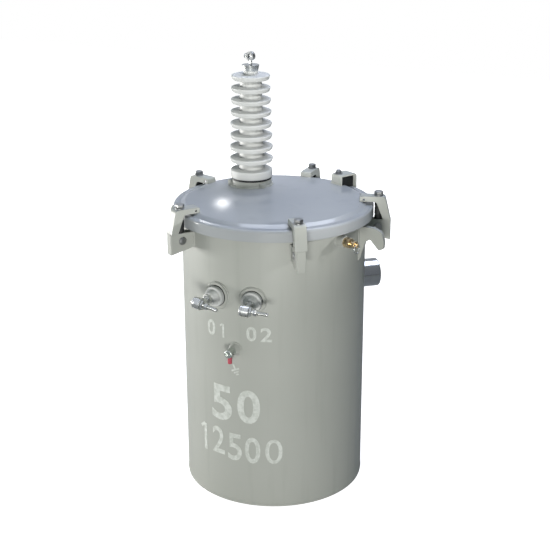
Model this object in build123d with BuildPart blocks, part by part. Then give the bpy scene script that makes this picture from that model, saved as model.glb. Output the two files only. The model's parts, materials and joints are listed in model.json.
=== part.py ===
from build123d import *
import os
from math import cos, radians, sin, sqrt

# Pole mounted distribution transformer, millimetres, +Z up, low voltage side at -Y, pole side at +Y.
# The origin is the centre of the tank's underside. Angles run from the front (-Y) towards +X.

# Tank: a rolled shell with a welded rim ring, standing on a flat bottom plate
tank_diameter = 406.4
rim_height = 639.0
wall_thickness = 3.2
bottom_thickness = 5.0
flange_reach = 9.5
flange_thickness = 4.0

# Cover: pressed sheet with a skirt, a flat rim, a step and a low dome, on a rubber ring
cover_gasket_thickness = 6.0
cover_gasket_setback = 0.8
cover_thickness = 4.0
skirt_gap = 3.5
skirt_drop = 25.0
cover_rim_width = 15.0
step_run = 11.0
step_rise = 6.0
dome_rise = 9.0
rim_bend = 5.0
step_bend = 6.0

# Cover clamps: a channel arm with its toe on the cover and its heel on a welded lug
clamp_count = 5
clamp_first_angle = 37.0
clamp_plate = 2.5
clamp_side_gap = 0.3
clamp_toe_reach = 5.0
clamp_depth = 12.0
clamp_arm_width = 16.0
clamp_crook_gap = 5.5
clamp_heel_setback = 1.0
clamp_bend = 8.0
clamp_toe_bend = 4.0
clamp_hole_clearance = 1.0
clamp_toe_hole = 5.0
clamp_toe_hole_inset = 9.0
clamp_toe_hole_rise = 5.0

# Clamp lugs: a channel welded to the wall, open at the wall side
lug_width = 20.0
lug_plate = 3.0
lug_reach = 55.0
lug_drop = 24.0
lug_height = 45.5
lug_rise = 12.0
lug_bend = 3.0

# Clamp bolts: a cross pin in the lug, a shank up through the clamp, a washer and a nut
bolt_diameter = 12.0
bolt_rim_gap = 4.0
bolt_arm_gap = 6.0
bolt_end_length = 0.5
pin_diameter = 10.0
pin_drop = 17.0
pin_clearance = 0.4
pin_head_diameter = 18.0
pin_head_thickness = 3.0
washer_diameter = 20.0
washer_thickness = 2.0
nut_width = 17.0
nut_height = 8.0

# High voltage bushing: a porcelain column with eight sheds on a collar in the cover
hv_angle = -128.0
hv_offset = 107.0
hv_collar_diameter = 90.0
hv_collar_height = 15.0
hv_collar_round = 4.0
hv_ear_count = 3
hv_ear_angle = -64.0
hv_ear_offset = 46.0
hv_ear_diameter = 16.0
hv_bore = 58.0
hv_gasket_diameter = 90.0
hv_gasket_thickness = 4.0
hv_base_diameter = 94.6
hv_base_height = 18.5
hv_shank_clearance = 1.5
hv_shank_length = 40.0
hv_core_bottom_diameter = 55.5
hv_core_top_diameter = 48.5
hv_shed_count = 8
hv_shed_first_rise = 22.0
hv_shed_pitch = 26.45
hv_shed_top_diameter = 82.0
hv_shed_flare = 3.0
hv_shed_edge = 10.5
hv_shed_undercut = 4.0
hv_shed_root_above = 6.5
hv_shed_root_below = 6.5
hv_shed_round = 2.5
hv_head_rise = 14.0

# High voltage terminal: a metal cap, a stud and an eye with a clamping screw
hv_cap_diameter = 33.0
hv_cap_top_diameter = 38.5
hv_cap_height = 13.0
hv_stud_diameter = 7.0
hv_stud_length = 8.5
hv_eye_angle = -10.0
hv_eye_diameter = 20.0
hv_eye_bore = 10.0
hv_eye_width = 9.0
hv_screw_diameter = 6.0
hv_screw_clearance = 0.3
hv_screw_head_width = 10.0
hv_screw_head_height = 4.0
hv_screw_setback = 0.6

# Low voltage bushings: a pair on the front, each a flange and a neck on a welded seat, with an eye terminal
lv_angle = 11.65
lv_drop = 149.0
lv_hole = 31.0
lv_seat_diameter = 57.0
lv_seat_thickness = 4.0
lv_gasket_diameter = 46.0
lv_gasket_thickness = 2.0
lv_flange_diameter = 44.0
lv_flange_length = 9.0
lv_flange_round = 2.0
lv_neck_diameter = 34.0
lv_neck_end_diameter = 27.0
lv_neck_length = 16.0
lv_neck_round = 2.0
lv_shank_clearance = 1.0
lv_shank_length = 24.0
lv_nut_width = 20.0
lv_nut_height = 7.0
lv_stud_diameter = 12.0
lv_stud_length = 11.5
lv_eye_diameter = 25.0
lv_eye_width = 14.0
lv_bolt_tilt = 6.0
lv_bolt_diameter = 8.0
lv_bolt_clearance = 0.4
lv_jaw_diameter = 25.0
lv_jaw_thickness = 6.0
lv_hex_width = 19.0
lv_hex_height = 6.0
lv_bolt_gap = 4.0
lv_locknut_width = 13.0
lv_locknut_height = 7.0
lv_bolt_tail = 24.0

# Earth terminal: a flared boss with a cross-drilled nose, clamped from below by a capped screw
earth_drop = 265.0
earth_boss_diameter = 30.0
earth_boss_length = 12.0
earth_nose_diameter = 18.0
earth_nose_length = 22.0
earth_nose_round = 2.0
earth_socket_width = 10.0
earth_socket_depth = 4.0
earth_wire_bore = 7.0
earth_wire_inset = 9.0
earth_screw_diameter = 5.0
earth_screw_clearance = 0.3
earth_screw_length = 9.0
earth_screw_setback = 0.5
earth_cap_diameter = 9.5
earth_cap_length = 15.0
earth_cap_round = 2.0

# Pressure relief valve: a welded coupling, a hexagon body, a stem and a pull ring
relief_angle = 67.0
relief_drop = 32.0
relief_coupling_diameter = 25.0
relief_coupling_length = 19.0
relief_hex_width = 19.0
relief_hex_length = 16.0
relief_stem_diameter = 11.0
relief_stem_length = 9.0
relief_button_diameter = 15.0
relief_button_length = 4.0
relief_tab_length = 7.0
relief_tab_width = 8.0
relief_tab_thickness = 3.0
relief_ring_diameter = 17.0
relief_ring_wire = 2.2
relief_ring_clearance = 0.5

# Switch cap: a polished cylinder on the wall behind the right hand lifting lug
cap_angle = 130.0
cap_drop = 180.0
cap_diameter = 64.0
cap_length = 43.0
cap_round = 3.0

# Lifting lugs: a hooked plate on each side, outline in shares of its reach and height
lift_angle = 90.0
lift_drop = 22.0
lift_reach = 57.0
lift_height = 76.0
lift_thickness = 10.0
lift_round = 12.0
lift_notch_round = 3.5
lift_tip_round = 2.0
lift_wall_share = -0.3
lift_back_share = 0.58
lift_brow_shares = (0.9, 0.9)
lift_nose_shares = (1.0, 0.62)
lift_tip_shares = (0.98, 0.42)
lift_inner_tip_shares = (0.8, 0.36)
lift_notch_shares = (0.44, 0.66)
lift_heel_shares = (0.25, 0.55)
lift_foot_share = 0.04

# Pole hangers: two channels on the rear, one above the other, each with an upright slot
hanger_drop = 139.0
hanger_spacing = 285.75
hanger_width = 76.0
hanger_height = 70.0
hanger_plate = 6.0
hanger_depth = 68.0
hanger_bend = 9.0
slot_width = 20.6
slot_length = 32.0

# Cover bracket: a bent strap over the rim at the right rear
bracket_angle = 151.0
bracket_plate = 3.5
bracket_width = 34.0
bracket_inset = 16.0
bracket_rim_gap = 1.0
bracket_height = 24.0
bracket_leg = 45.0
bracket_bend = 6.0

# How far a cut runs past the piece that it cuts
overrun = 2.0

# Places that follow from the sizes
tank_radius = tank_diameter / 2
inner_radius = tank_radius - wall_thickness
flange_radius = tank_radius + flange_reach
cover_radius = flange_radius + skirt_gap + cover_thickness
cover_seat = rim_height + cover_gasket_thickness
cover_top = cover_seat + cover_thickness
skirt_foot = cover_top - skirt_drop
step_outer = cover_radius - cover_rim_width
step_inner = step_outer - step_run
step_top = cover_top + step_rise
dome_top = step_top + dome_rise
dome_curve = (step_inner**2 + dome_rise**2) / (2 * dome_rise)


def dome_height(radius):
    return dome_top - dome_curve + sqrt(dome_curve**2 - radius**2)


# A plane through the tank's axis that faces outwards, its X to the right and its Y up
def facing(angle, height):
    turn = radians(angle)
    return Plane((0, 0, height), x_dir=(cos(turn), sin(turn), 0), z_dir=(sin(turn), -cos(turn), 0))


# A plane through the tank's axis, its X outwards and its Y up
def section(angle):
    turn = radians(angle)
    return Plane((0, 0, 0), x_dir=(sin(turn), -cos(turn), 0), z_dir=(-cos(turn), -sin(turn), 0))


# A plane across a terminal's axis, its X outwards and its Z along the terminal's bolt, tilted up at the left
def bolt_plane(angle, height, tilt):
    turn = radians(angle)
    lean = radians(tilt)
    return Plane(
        (0, 0, height),
        x_dir=(sin(turn), -cos(turn), 0),
        z_dir=(-cos(turn) * cos(lean), -sin(turn) * cos(lean), sin(lean)),
    )


def outward(angle, radius):
    turn = radians(angle)
    return (radius * sin(turn), -radius * cos(turn))


os.makedirs("parts", exist_ok=True)

lv_height = rim_height - lv_drop
lv_hole_radius = lv_hole / 2
hv_centre = outward(hv_angle, hv_offset)

# Tank shell
with BuildPart() as tank_shell:
    with BuildSketch(Plane.XY.offset(bottom_thickness)):
        Circle(tank_radius)
        Circle(inner_radius, mode=Mode.SUBTRACT)
    extrude(amount=rim_height - bottom_thickness)
    for side in (-1, 1):
        with BuildSketch(facing(side * lv_angle, lv_height)):
            Circle(lv_hole_radius)
        extrude(amount=tank_radius + overrun, mode=Mode.SUBTRACT)
tank_shell.part.label = "tank_shell"
export_step(tank_shell.part, "parts/tank_shell.step")

# Rim ring welded round the top of the shell
with BuildPart() as tank_rim:
    with BuildSketch(Plane.XY.offset(rim_height - flange_thickness)):
        Circle(flange_radius)
        Circle(tank_radius, mode=Mode.SUBTRACT)
    extrude(amount=flange_thickness)
tank_rim.part.label = "tank_rim"
export_step(tank_rim.part, "parts/tank_rim.step")

# Tank bottom
with BuildPart() as tank_bottom:
    with BuildSketch():
        Circle(tank_radius)
    extrude(amount=bottom_thickness)
tank_bottom.part.label = "tank_bottom"
export_step(tank_bottom.part, "parts/tank_bottom.step")

# Rubber ring between the rim and the cover
with BuildPart() as cover_gasket:
    with BuildSketch(Plane.XY.offset(rim_height)):
        Circle(flange_radius - cover_gasket_setback)
        Circle(tank_radius, mode=Mode.SUBTRACT)
    extrude(amount=cover_gasket_thickness)
cover_gasket.part.label = "cover_gasket"
export_step(cover_gasket.part, "parts/cover_gasket.step")

# Outer form of the cover, filled, which also seats what stands on it
with BuildPart() as cover_form:
    with BuildSketch(Plane.XZ) as cover_outline:
        with BuildLine():
            Polyline(
                (0, dome_top),
                (0, skirt_foot),
                (cover_radius, skirt_foot),
                (cover_radius, cover_top),
                (step_outer, cover_top),
                (step_inner, step_top),
            )
            ThreePointArc(
                (step_inner, step_top),
                (step_inner / 2, dome_height(step_inner / 2)),
                (0, dome_top),
            )
        make_face()
        fillet(cover_outline.vertices().sort_by_distance((cover_radius, cover_top))[0], rim_bend)
        fillet(cover_outline.vertices().sort_by_distance((step_outer, cover_top))[0], step_bend)
        fillet(cover_outline.vertices().sort_by_distance((step_inner, step_top))[0], step_bend)
    revolve(axis=Axis.Z)

# Cover
with BuildPart() as cover:
    add(cover_form.part)
    with BuildSketch(Plane.XZ) as cover_hollow:
        with BuildLine():
            Polyline(
                (0, dome_top - cover_thickness),
                (0, skirt_foot - overrun),
                (cover_radius - cover_thickness, skirt_foot - overrun),
                (cover_radius - cover_thickness, cover_seat),
                (step_outer, cover_seat),
                (step_inner, step_top - cover_thickness),
            )
            ThreePointArc(
                (step_inner, step_top - cover_thickness),
                (step_inner / 2, dome_height(step_inner / 2) - cover_thickness),
                (0, dome_top - cover_thickness),
            )
        make_face()
    revolve(axis=Axis.Z, mode=Mode.SUBTRACT)
    with BuildSketch(Plane.XY.offset(cover_seat)):
        with Locations(hv_centre):
            Circle(hv_bore / 2)
    extrude(amount=step_rise + dome_rise + cover_thickness, mode=Mode.SUBTRACT)
cover.part.label = "cover"
export_step(cover.part, "parts/cover.step")

# Cover clamps with their lugs and bolts
lug_radius = tank_radius + lug_reach
lug_top = rim_height - lug_drop
lug_foot = lug_top - lug_height
lug_wall_foot = lug_foot + lug_rise
pin_height = lug_top - pin_drop
bolt_radius = cover_radius + bolt_rim_gap + bolt_diameter / 2
clamp_toe = step_inner - clamp_toe_reach
clamp_top = step_top + clamp_depth
clamp_shoulder = bolt_radius + bolt_diameter / 2 + bolt_arm_gap + clamp_plate
clamp_heel = lug_radius - clamp_heel_setback
clamp_half_width = lug_width / 2 + clamp_side_gap + clamp_plate
clamp_crook = cover_radius + clamp_crook_gap
washer_top = clamp_top + washer_thickness
nut_top = washer_top + nut_height

for number in range(clamp_count):
    angle = clamp_first_angle + number * 360 / clamp_count
    bolt_centre = outward(angle, bolt_radius)

    with BuildPart() as clamp_lug:
        with BuildSketch(section(angle)):
            with BuildLine():
                Polyline(
                    (0, lug_wall_foot),
                    (tank_radius, lug_wall_foot),
                    (lug_radius, lug_foot),
                    (lug_radius, lug_top),
                    (0, lug_top),
                    close=True,
                )
            make_face()
        extrude(amount=lug_width / 2, both=True)
        fillet(clamp_lug.edges().filter_by(Axis.Z).sort_by(SortBy.DISTANCE)[-2:], lug_bend)
        with BuildSketch(section(angle)):
            with BuildLine():
                Polyline(
                    (0, lug_foot - overrun),
                    (lug_radius - lug_plate, lug_foot - overrun),
                    (lug_radius - lug_plate, lug_top + overrun),
                    (0, lug_top + overrun),
                    close=True,
                )
            make_face()
        extrude(amount=lug_width / 2 - lug_plate, both=True, mode=Mode.SUBTRACT)
        with BuildSketch(section(angle)):
            with Locations((bolt_radius, pin_height)):
                Circle(pin_diameter / 2 + pin_clearance)
        extrude(amount=lug_width, both=True, mode=Mode.SUBTRACT)
        Cylinder(tank_radius, rim_height, align=(Align.CENTER, Align.CENTER, Align.MIN), mode=Mode.SUBTRACT)
    clamp_lug.part.label = f"clamp_lug_{number + 1}"
    export_step(clamp_lug.part, f"parts/clamp_lug_{number + 1}.step")

    with BuildPart() as cover_clamp:
        with BuildSketch(section(angle)) as clamp_side:
            with BuildLine():
                Polyline(
                    (clamp_toe, step_top),
                    (clamp_toe, clamp_top),
                    (clamp_shoulder, clamp_top),
                    (clamp_heel, lug_top),
                    (clamp_heel - clamp_arm_width, lug_top),
                    (clamp_crook, step_top),
                    close=True,
                )
            make_face()
            fillet(clamp_side.vertices().sort_by_distance((clamp_toe, clamp_top))[0], clamp_toe_bend)
            fillet(clamp_side.vertices().sort_by_distance((clamp_shoulder, clamp_top))[0], clamp_bend)
            fillet(clamp_side.vertices().sort_by_distance((clamp_crook, step_top))[0], clamp_bend)
        extrude(amount=clamp_half_width, both=True)
        with BuildSketch(section(angle)) as clamp_pocket:
            with BuildLine():
                Polyline(
                    (clamp_toe + clamp_plate, lug_top - overrun),
                    (clamp_toe + clamp_plate, clamp_top - clamp_plate),
                    (clamp_shoulder - clamp_plate, clamp_top - clamp_plate),
                    (clamp_heel - clamp_plate, lug_top - overrun),
                    close=True,
                )
            make_face()
            fillet(
                clamp_pocket.vertices().sort_by_distance((clamp_shoulder - clamp_plate, clamp_top - clamp_plate))[0],
                clamp_bend - clamp_plate,
            )
        extrude(amount=clamp_half_width - clamp_plate, both=True, mode=Mode.SUBTRACT)
        with BuildSketch(Plane.XY.offset(clamp_top - clamp_plate - overrun)):
            with Locations(bolt_centre):
                Circle(bolt_diameter / 2 + clamp_hole_clearance)
        extrude(amount=clamp_plate + overrun, mode=Mode.SUBTRACT)
        with BuildSketch(section(angle)):
            with Locations((clamp_toe + clamp_toe_hole_inset, step_top + clamp_toe_hole_rise)):
                Circle(clamp_toe_hole / 2)
        extrude(amount=clamp_half_width + overrun, both=True, mode=Mode.SUBTRACT)
        add(cover_form.part, mode=Mode.SUBTRACT)
    cover_clamp.part.label = f"cover_clamp_{number + 1}"
    export_step(cover_clamp.part, f"parts/cover_clamp_{number + 1}.step")

    with BuildPart() as clamp_bolt:
        with BuildSketch(section(angle)):
            with Locations((bolt_radius, pin_height)):
                Circle(pin_diameter / 2)
        extrude(amount=lug_width / 2 + pin_head_thickness, both=True)
        for side in (-1, 1):
            with BuildSketch(section(angle).offset(side * lug_width / 2)):
                with Locations((bolt_radius, pin_height)):
                    Circle(pin_head_diameter / 2)
            extrude(amount=side * pin_head_thickness)
        with BuildSketch(Plane.XY.offset(pin_height)):
            with Locations(bolt_centre):
                Circle(bolt_diameter / 2)
        extrude(amount=nut_top + bolt_end_length - pin_height)
        with BuildSketch(Plane.XY.offset(clamp_top)):
            with Locations(bolt_centre):
                Circle(washer_diameter / 2)
        extrude(amount=washer_thickness)
        with BuildSketch(Plane.XY.offset(washer_top)):
            with Locations(bolt_centre):
                RegularPolygon(nut_width / 2, 6, major_radius=False, rotation=angle)
        extrude(amount=nut_height)
    clamp_bolt.part.label = f"clamp_bolt_{number + 1}"
    export_step(clamp_bolt.part, f"parts/clamp_bolt_{number + 1}.step")

# High voltage bushing
hv_axis = Axis((*hv_centre, 0), (0, 0, 1))
hv_plane = Plane((*hv_centre, 0), x_dir=(1, 0, 0), z_dir=(0, -1, 0))
hv_collar_top = dome_height(hv_offset) + hv_collar_height
hv_foot = hv_collar_top + hv_gasket_thickness
hv_base_top = hv_foot + hv_base_height
hv_shank_radius = hv_bore / 2 - hv_shank_clearance
hv_last_shed = hv_base_top + hv_shed_first_rise + (hv_shed_count - 1) * hv_shed_pitch
hv_head = hv_last_shed + hv_head_rise

with BuildPart() as hv_collar:
    with BuildSketch(Plane.XY.offset(step_top)):
        with Locations(hv_centre):
            Circle(hv_collar_diameter / 2)
    extrude(amount=hv_collar_top - step_top)
    fillet(hv_collar.edges().group_by(Axis.Z)[-1], hv_collar_round)
    for ear in range(hv_ear_count):
        ear_x, ear_y = outward(hv_ear_angle + ear * 360 / hv_ear_count, hv_ear_offset)
        with BuildSketch(Plane.XY.offset(step_top)):
            with Locations((hv_centre[0] + ear_x, hv_centre[1] + ear_y)):
                Circle(hv_ear_diameter / 2)
        extrude(amount=hv_collar_top - hv_collar_round - step_top)
    with BuildSketch(Plane.XY.offset(step_top)):
        with Locations(hv_centre):
            Circle(hv_bore / 2)
    extrude(amount=hv_collar_top - step_top, mode=Mode.SUBTRACT)
    add(cover_form.part, mode=Mode.SUBTRACT)
hv_collar.part.label = "hv_collar"
export_step(hv_collar.part, "parts/hv_collar.step")

with BuildPart() as hv_gasket:
    with BuildSketch(Plane.XY.offset(hv_collar_top)):
        with Locations(hv_centre):
            Circle(hv_gasket_diameter / 2)
            Circle(hv_bore / 2, mode=Mode.SUBTRACT)
    extrude(amount=hv_gasket_thickness)
hv_gasket.part.label = "hv_gasket"
export_step(hv_gasket.part, "parts/hv_gasket.step")

with BuildPart() as hv_bushing:
    with BuildSketch(hv_plane) as hv_profile:
        with BuildLine():
            Polyline(
                (0, hv_foot - hv_shank_length),
                (hv_shank_radius, hv_foot - hv_shank_length),
                (hv_shank_radius, hv_foot),
                (hv_base_diameter / 2, hv_foot),
                (hv_base_diameter / 2, hv_base_top),
                (hv_core_bottom_diameter / 2, hv_base_top),
                (hv_core_top_diameter / 2, hv_last_shed),
                (hv_cap_diameter / 2, hv_last_shed),
                (hv_cap_diameter / 2, hv_head),
                (0, hv_head),
                close=True,
            )
        make_face()
        for shed in range(hv_shed_count):
            rise_share = shed / (hv_shed_count - 1)
            shed_diameter = hv_base_diameter + rise_share * (hv_shed_top_diameter - hv_base_diameter)
            shed_radius = shed_diameter / 2 + hv_shed_flare
            shed_height = hv_base_top + hv_shed_first_rise + shed * hv_shed_pitch
            with BuildLine():
                Polyline(
                    (0, shed_height - hv_shed_root_below),
                    (shed_radius - hv_shed_undercut, shed_height - hv_shed_edge / 2),
                    (shed_radius, shed_height + hv_shed_edge / 2),
                    (0, shed_height + hv_shed_root_above),
                    close=True,
                )
            make_face()
        hv_edge_radius = min(hv_shed_top_diameter, hv_base_diameter) / 2 - hv_shed_undercut - overrun
        fillet(hv_profile.vertices().filter_by(lambda corner: corner.X > hv_edge_radius), hv_shed_round)
    revolve(axis=hv_axis)
hv_bushing.part.label = "hv_bushing"
export_step(hv_bushing.part, "parts/hv_bushing.step")

# High voltage terminal
hv_cap_top = hv_head + hv_cap_height
hv_eye_height = hv_cap_top + hv_stud_length + hv_eye_diameter / 2
hv_eye_turn = radians(hv_eye_angle)
hv_eye_plane = Plane(
    (*hv_centre, hv_eye_height),
    x_dir=(cos(hv_eye_turn), sin(hv_eye_turn), 0),
    z_dir=(sin(hv_eye_turn), -cos(hv_eye_turn), 0),
)
hv_screw_plane = Plane(
    (*hv_centre, hv_eye_height),
    x_dir=(sin(hv_eye_turn), -cos(hv_eye_turn), 0),
    z_dir=(-cos(hv_eye_turn), -sin(hv_eye_turn), 0),
)

with BuildPart() as hv_terminal:
    with BuildSketch(hv_plane):
        with BuildLine():
            Polyline(
                (0, hv_head),
                (hv_cap_diameter / 2, hv_head),
                (hv_cap_top_diameter / 2, hv_cap_top),
                (0, hv_cap_top),
                close=True,
            )
        make_face()
    revolve(axis=hv_axis)
    with BuildSketch(Plane.XY.offset(hv_cap_top)):
        with Locations(hv_centre):
            Circle(hv_stud_diameter / 2)
    extrude(amount=hv_eye_height - hv_cap_top)
    with BuildSketch(hv_eye_plane):
        Circle(hv_eye_diameter / 2)
    extrude(amount=hv_eye_width / 2, both=True)
    with BuildSketch(hv_eye_plane):
        Circle(hv_eye_bore / 2)
    extrude(amount=hv_eye_width + overrun, both=True, mode=Mode.SUBTRACT)
    with BuildSketch(hv_screw_plane):
        Circle(hv_screw_diameter / 2 + hv_screw_clearance)
    extrude(amount=hv_eye_diameter / 2 + overrun, mode=Mode.SUBTRACT)
hv_terminal.part.label = "hv_terminal"
export_step(hv_terminal.part, "parts/hv_terminal.step")

with BuildPart() as hv_screw:
    with BuildSketch(hv_screw_plane.offset(hv_eye_bore / 2 + hv_screw_setback)):
        Circle(hv_screw_diameter / 2)
    extrude(amount=(hv_eye_diameter - hv_eye_bore) / 2 - hv_screw_setback)
    with BuildSketch(hv_screw_plane.offset(hv_eye_diameter / 2)):
        RegularPolygon(hv_screw_head_width / 2, 6, major_radius=False)
    extrude(amount=hv_screw_head_height)
hv_screw.part.label = "hv_screw"
export_step(hv_screw.part, "parts/hv_screw.step")

# Low voltage bushings, each built outwards along its own axis
lv_seat_face = tank_radius + lv_seat_thickness
lv_flange_seat = lv_seat_face + lv_gasket_thickness
lv_shoulder = lv_flange_seat + lv_flange_length
lv_face = lv_shoulder + lv_neck_length
lv_nut_face = lv_face + lv_nut_height
lv_eye_radius = lv_nut_face + lv_stud_length + lv_eye_diameter / 2
lv_hex_face = lv_eye_width / 2 + lv_hex_height
lv_locknut_seat = lv_hex_face + lv_bolt_gap
lv_tail_start = lv_locknut_seat + lv_locknut_height

# Welded seats on the wall
with BuildPart() as lv_seats:
    for side in (-1, 1):
        with BuildSketch(facing(side * lv_angle, lv_height)):
            Circle(lv_seat_diameter / 2)
            Circle(lv_hole_radius, mode=Mode.SUBTRACT)
        extrude(amount=lv_seat_face)
    Cylinder(tank_radius, rim_height, align=(Align.CENTER, Align.CENTER, Align.MIN), mode=Mode.SUBTRACT)
lv_seats.part.label = "lv_seats"
export_step(lv_seats.part, "parts/lv_seats.step")

# Rubber rings on the seats
with BuildPart() as lv_gaskets:
    for side in (-1, 1):
        with BuildSketch(facing(side * lv_angle, lv_height).offset(lv_seat_face)):
            Circle(lv_gasket_diameter / 2)
            Circle(lv_hole_radius, mode=Mode.SUBTRACT)
        extrude(amount=lv_gasket_thickness)
lv_gaskets.part.label = "lv_gaskets"
export_step(lv_gaskets.part, "parts/lv_gaskets.step")

for name, side in (("left", -1), ("right", 1)):
    lv_axis_plane = facing(side * lv_angle, lv_height)
    lv_eye_plane = bolt_plane(side * lv_angle, lv_height, lv_bolt_tilt)

    with BuildPart() as lv_bushing:
        with BuildSketch(lv_axis_plane.offset(lv_flange_seat)):
            Circle(lv_flange_diameter / 2)
        extrude(amount=lv_flange_length)
        fillet(lv_bushing.edges().filter_by(GeomType.CIRCLE).sort_by_distance((0, 0, lv_height))[-1], lv_flange_round)
        with BuildSketch(lv_axis_plane.offset(lv_shoulder)):
            Circle(lv_neck_diameter / 2)
        with BuildSketch(lv_axis_plane.offset(lv_face)):
            Circle(lv_neck_end_diameter / 2)
        loft()
        fillet(lv_bushing.edges().filter_by(GeomType.CIRCLE).sort_by_distance((0, 0, lv_height))[-1], lv_neck_round)
        with BuildSketch(lv_axis_plane.offset(tank_radius - lv_shank_length)):
            Circle(lv_hole_radius - lv_shank_clearance)
        extrude(amount=lv_flange_seat - tank_radius + lv_shank_length)
    lv_bushing.part.label = f"lv_bushing_{name}"
    export_step(lv_bushing.part, f"parts/lv_bushing_{name}.step")

    with BuildPart() as lv_terminal:
        with BuildSketch(lv_axis_plane.offset(lv_face)):
            RegularPolygon(lv_nut_width / 2, 6, major_radius=False)
        extrude(amount=lv_nut_height)
        with BuildSketch(lv_axis_plane.offset(lv_nut_face)):
            Circle(lv_stud_diameter / 2)
        extrude(amount=lv_eye_radius - lv_nut_face)
        with BuildSketch(lv_eye_plane):
            with Locations((lv_eye_radius, 0)):
                Circle(lv_eye_diameter / 2)
        extrude(amount=lv_eye_width / 2, both=True)
        with BuildSketch(lv_eye_plane):
            with Locations((lv_eye_radius, 0)):
                Circle(lv_bolt_diameter / 2 + lv_bolt_clearance)
        extrude(amount=lv_eye_width, both=True, mode=Mode.SUBTRACT)
    lv_terminal.part.label = f"lv_terminal_{name}"
    export_step(lv_terminal.part, f"parts/lv_terminal_{name}.step")

    with BuildPart() as lv_bolt:
        with BuildSketch(lv_eye_plane.offset(lv_eye_width / 2)):
            with Locations((lv_eye_radius, 0)):
                Circle(lv_jaw_diameter / 2)
        extrude(amount=lv_jaw_thickness)
        with BuildSketch(lv_eye_plane.offset(lv_eye_width / 2)):
            with Locations((lv_eye_radius, 0)):
                Circle(lv_bolt_diameter / 2)
        extrude(amount=-(lv_eye_width / 2 + lv_tail_start + lv_bolt_tail))
        with BuildSketch(lv_eye_plane.offset(-lv_eye_width / 2)):
            with Locations((lv_eye_radius, 0)):
                RegularPolygon(lv_hex_width / 2, 6, major_radius=False)
        extrude(amount=-lv_hex_height)
        with BuildSketch(lv_eye_plane.offset(-lv_locknut_seat)):
            with Locations((lv_eye_radius, 0)):
                RegularPolygon(lv_locknut_width / 2, 6, major_radius=False)
        extrude(amount=-lv_locknut_height)
    lv_bolt.part.label = f"lv_bolt_{name}"
    export_step(lv_bolt.part, f"parts/lv_bolt_{name}.step")

# Earth terminal
earth_height = rim_height - earth_drop
earth_front = tank_radius + earth_boss_length
earth_wire_radius = earth_front + earth_nose_length - earth_wire_inset
earth_screw_top = earth_height - earth_wire_bore / 2 - earth_screw_setback
earth_nose_foot = earth_height - earth_nose_diameter / 2
earth_screw_foot = earth_nose_foot - earth_screw_length
earth_screw_centre = outward(0, earth_wire_radius)

with BuildPart() as earth_boss:
    with BuildSketch(facing(0, earth_height)):
        Circle(earth_boss_diameter / 2)
    extrude(amount=tank_radius)
    with BuildSketch(facing(0, earth_height).offset(tank_radius)):
        Circle(earth_boss_diameter / 2)
    with BuildSketch(facing(0, earth_height).offset(earth_front)):
        Circle(earth_nose_diameter / 2)
    loft()
    Cylinder(tank_radius, rim_height, align=(Align.CENTER, Align.CENTER, Align.MIN), mode=Mode.SUBTRACT)
earth_boss.part.label = "earth_boss"
export_step(earth_boss.part, "parts/earth_boss.step")

with BuildPart() as earth_terminal:
    with BuildSketch(facing(0, earth_height).offset(earth_front)):
        Circle(earth_nose_diameter / 2)
    extrude(amount=earth_nose_length)
    fillet(earth_terminal.edges().filter_by(GeomType.CIRCLE).sort_by(Axis.Y)[0], earth_nose_round)
    with BuildSketch(facing(0, earth_height).offset(earth_front + earth_nose_length)):
        RegularPolygon(earth_socket_width / 2, 6, major_radius=False)
    extrude(amount=-earth_socket_depth, mode=Mode.SUBTRACT)
    with BuildSketch(section(0)):
        with Locations((earth_wire_radius, earth_height)):
            Circle(earth_wire_bore / 2)
    extrude(amount=earth_nose_diameter, both=True, mode=Mode.SUBTRACT)
    with BuildSketch(Plane.XY.offset(earth_nose_foot)):
        with Locations(earth_screw_centre):
            Circle(earth_screw_diameter / 2 + earth_screw_clearance)
    extrude(amount=earth_nose_diameter / 2, mode=Mode.SUBTRACT)
earth_terminal.part.label = "earth_terminal"
export_step(earth_terminal.part, "parts/earth_terminal.step")

with BuildPart() as earth_screw_cap:
    with BuildSketch(Plane.XY.offset(earth_screw_foot)):
        with Locations(earth_screw_centre):
            Circle(earth_screw_diameter / 2)
    extrude(amount=earth_screw_top - earth_screw_foot)
    with BuildSketch(Plane.XY.offset(earth_nose_foot)):
        with Locations(earth_screw_centre):
            Circle(earth_cap_diameter / 2)
    extrude(amount=-earth_cap_length)
    fillet(earth_screw_cap.edges().filter_by(GeomType.CIRCLE).sort_by(Axis.Z)[0], earth_cap_round)
earth_screw_cap.part.label = "earth_screw_cap"
export_step(earth_screw_cap.part, "parts/earth_screw_cap.step")

# Pressure relief valve
relief_height = rim_height - relief_drop
relief_plane = facing(relief_angle, relief_height)
relief_seat = tank_radius + relief_coupling_length
relief_hex_face = relief_seat + relief_hex_length
relief_button_seat = relief_hex_face + relief_stem_length
relief_button_face = relief_button_seat + relief_button_length
relief_hole_radius = relief_button_face + relief_tab_length / 2
relief_ring_drop = relief_ring_diameter / 2

with BuildPart() as relief_coupling:
    with BuildSketch(relief_plane):
        Circle(relief_coupling_diameter / 2)
    extrude(amount=relief_seat)
    Cylinder(tank_radius, rim_height, align=(Align.CENTER, Align.CENTER, Align.MIN), mode=Mode.SUBTRACT)
relief_coupling.part.label = "relief_coupling"
export_step(relief_coupling.part, "parts/relief_coupling.step")

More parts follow.
